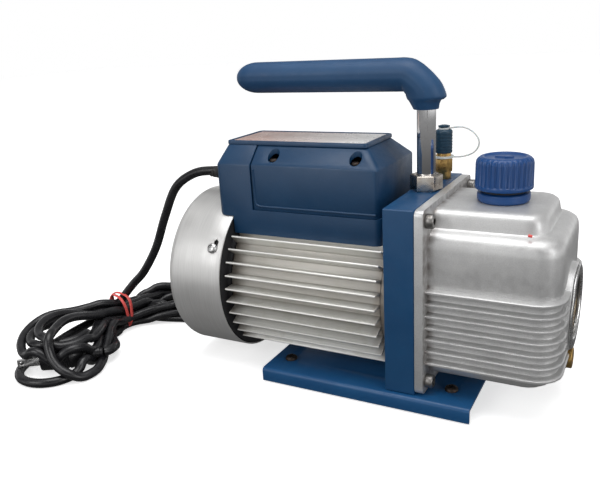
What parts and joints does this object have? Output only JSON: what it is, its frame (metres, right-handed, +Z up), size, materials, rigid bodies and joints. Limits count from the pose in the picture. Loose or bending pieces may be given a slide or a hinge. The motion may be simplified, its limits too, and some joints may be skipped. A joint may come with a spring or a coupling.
{
  "type": "rotary vane vacuum pump",
  "caption": "Portable rotary vane vacuum pump with finned motor, cast oil casing, terminal box, carry handle and a hanked mains cord.",
  "frame": {"origin": "middle of the machine's footprint at floor level, without the cord", "axes": "+X from the fan end to the oil casing's sight glass, +Y to the back, +Z up; the front is -Y"},
  "size_m": [0.406, 0.2123, 0.2203],
  "materials": {
    "base_paint": "satin blue paint on folded sheet steel",
    "body_paint": "satin blue paint on a machined block",
    "box_plastic": "fine textured navy moulding",
    "cap_plastic": "semi-gloss saturated blue moulding",
    "grip_rubber": "matte blue grip moulding",
    "cast_aluminium": "satin die casting",
    "finned_aluminium": "extruded, slightly stained between the fins",
    "brushed_sheet": "satin pressed sheet",
    "zinc_steel": "bright zinc plate",
    "nickel_steel": "warm bright nickel plate",
    "chrome": "mirror chrome",
    "inner_steel": "machined steel",
    "brass": "turned brass",
    "copper_winding": "varnished copper wire",
    "black_shield": "matte black casting",
    "black_plastic": "black moulding",
    "black_rubber": "black moulded rubber",
    "cord_pvc": "glossy black cord sheath",
    "red_rubber": "coral red elastic band",
    "strap_plastic": "translucent white strap",
    "sight_glass": "clear window over the oil",
    "vane_composite": "pressed resin composite"
  },
  "bodies": {
    "machine": {"base_plate": "base_paint", "foot_fan_front": "black_rubber", "foot_fan_back": "black_rubber", "foot_oil_front": "black_rubber", "foot_oil_back": "black_rubber", "pump_body": "body_paint", "casing_screw_top_front": "nickel_steel", "casing_screw_top_back": "nickel_steel", "casing_screw_low_front": "nickel_steel", "casing_screw_low_back": "nickel_steel", "oil_casing": "cast_aluminium", "pump_cylinder": "inner_steel", "pump_end_plate": "inner_steel", "shaft_seal": "black_rubber", "sight_glass": "sight_glass", "sight_glass_ring": "zinc_steel", "oil_filler_collar": "cap_plastic", "motor_housing": "finned_aluminium", "end_shield": "black_shield", "stator_core": "inner_steel", "winding_fan_end": "copper_winding", "winding_pump_end": "copper_winding", "bearing_fan_end": "inner_steel", "bearing_pump_end": "inner_steel", "fan_cover": "brushed_sheet", "cover_screw_front": "zinc_steel", "cover_screw_back": "zinc_steel", "cover_screw_low": "zinc_steel", "terminal_box": "box_plastic", "terminal_box_lid": "box_plastic", "lid_screw_left": "zinc_steel", "lid_screw_right": "zinc_steel", "label_plate": "box_plastic", "cord_gland": "black_rubber", "switch_bezel": "black_plastic", "run_capacitor": "inner_steel", "handle_rod": "chrome", "handle_nut": "nickel_steel", "handle_grip": "grip_rubber", "intake_fitting": "brass", "intake_cap_strap": "strap_plastic", "power_cord": "cord_pvc", "cord_hank": "cord_pvc", "cord_band": "red_rubber", "plug_body": "cord_pvc", "plug_blade_front": "nickel_steel", "plug_blade_back": "nickel_steel", "intake_cap_seal": "black_rubber"},
    "spinning_shaft": {"motor_shaft": "inner_steel", "motor_rotor": "inner_steel", "cooling_fan": "black_plastic", "pump_rotor": "inner_steel", "vane_upper": "vane_composite", "vane_lower": "vane_composite"},
    "switch": {"rocker_switch": "black_plastic"},
    "oil_cap_lift": {"oil_cap_seal": "black_rubber"},
    "oil_cap": {"oil_fill_cap": "cap_plastic"},
    "intake_cap": {"intake_cap": "cap_plastic"},
    "drain_lift": {"drain_plug_washer": "brass"},
    "drain": {"drain_plug": "nickel_steel"}
  },
  "joints": [
    {"name": "shaft_spin", "type": "hinge", "parent": "machine", "child": "spinning_shaft", "pos_m": [0, 0, 0.0652], "axis": [1, 0, 0], "continuous": true},
    {"name": "switch_rock", "type": "hinge", "parent": "machine", "child": "switch", "pos_m": [-0.0962, 0.0165, 0.1415], "axis": [0, 0, 1], "range_deg": [0, 14]},
    {"name": "oil_cap_rise", "type": "slide", "parent": "machine", "child": "oil_cap_lift", "axis": [0, 0, 1], "range_m": [0, 0.006]},
    {"name": "oil_cap_turn", "type": "hinge", "parent": "oil_cap_lift", "child": "oil_cap", "pos_m": [0.09075, 0, 0.1491], "axis": [0, 0, 1], "range_deg": [0, 720]},
    {"name": "intake_cap_turn", "type": "hinge", "parent": "machine", "child": "intake_cap", "pos_m": [0.0414, 0.0358, 0.16], "axis": [0, 0, 1], "range_deg": [0, 360]},
    {"name": "drain_plug_out", "type": "slide", "parent": "machine", "child": "drain_lift", "axis": [1, 0, 0], "range_m": [0, 0.003]},
    {"name": "drain_plug_turn", "type": "hinge", "parent": "drain_lift", "child": "drain", "pos_m": [0.135, 0, 0.0289], "axis": [1, 0, 0], "range_deg": [0, 720]}
  ],
  "couplings": [
    {"joint": "oil_cap_rise", "follows": "oil_cap_turn", "m_per_rad": 0.00047746},
    {"joint": "drain_plug_out", "follows": "drain_plug_turn", "m_per_rad": 0.00023873}
  ]
}
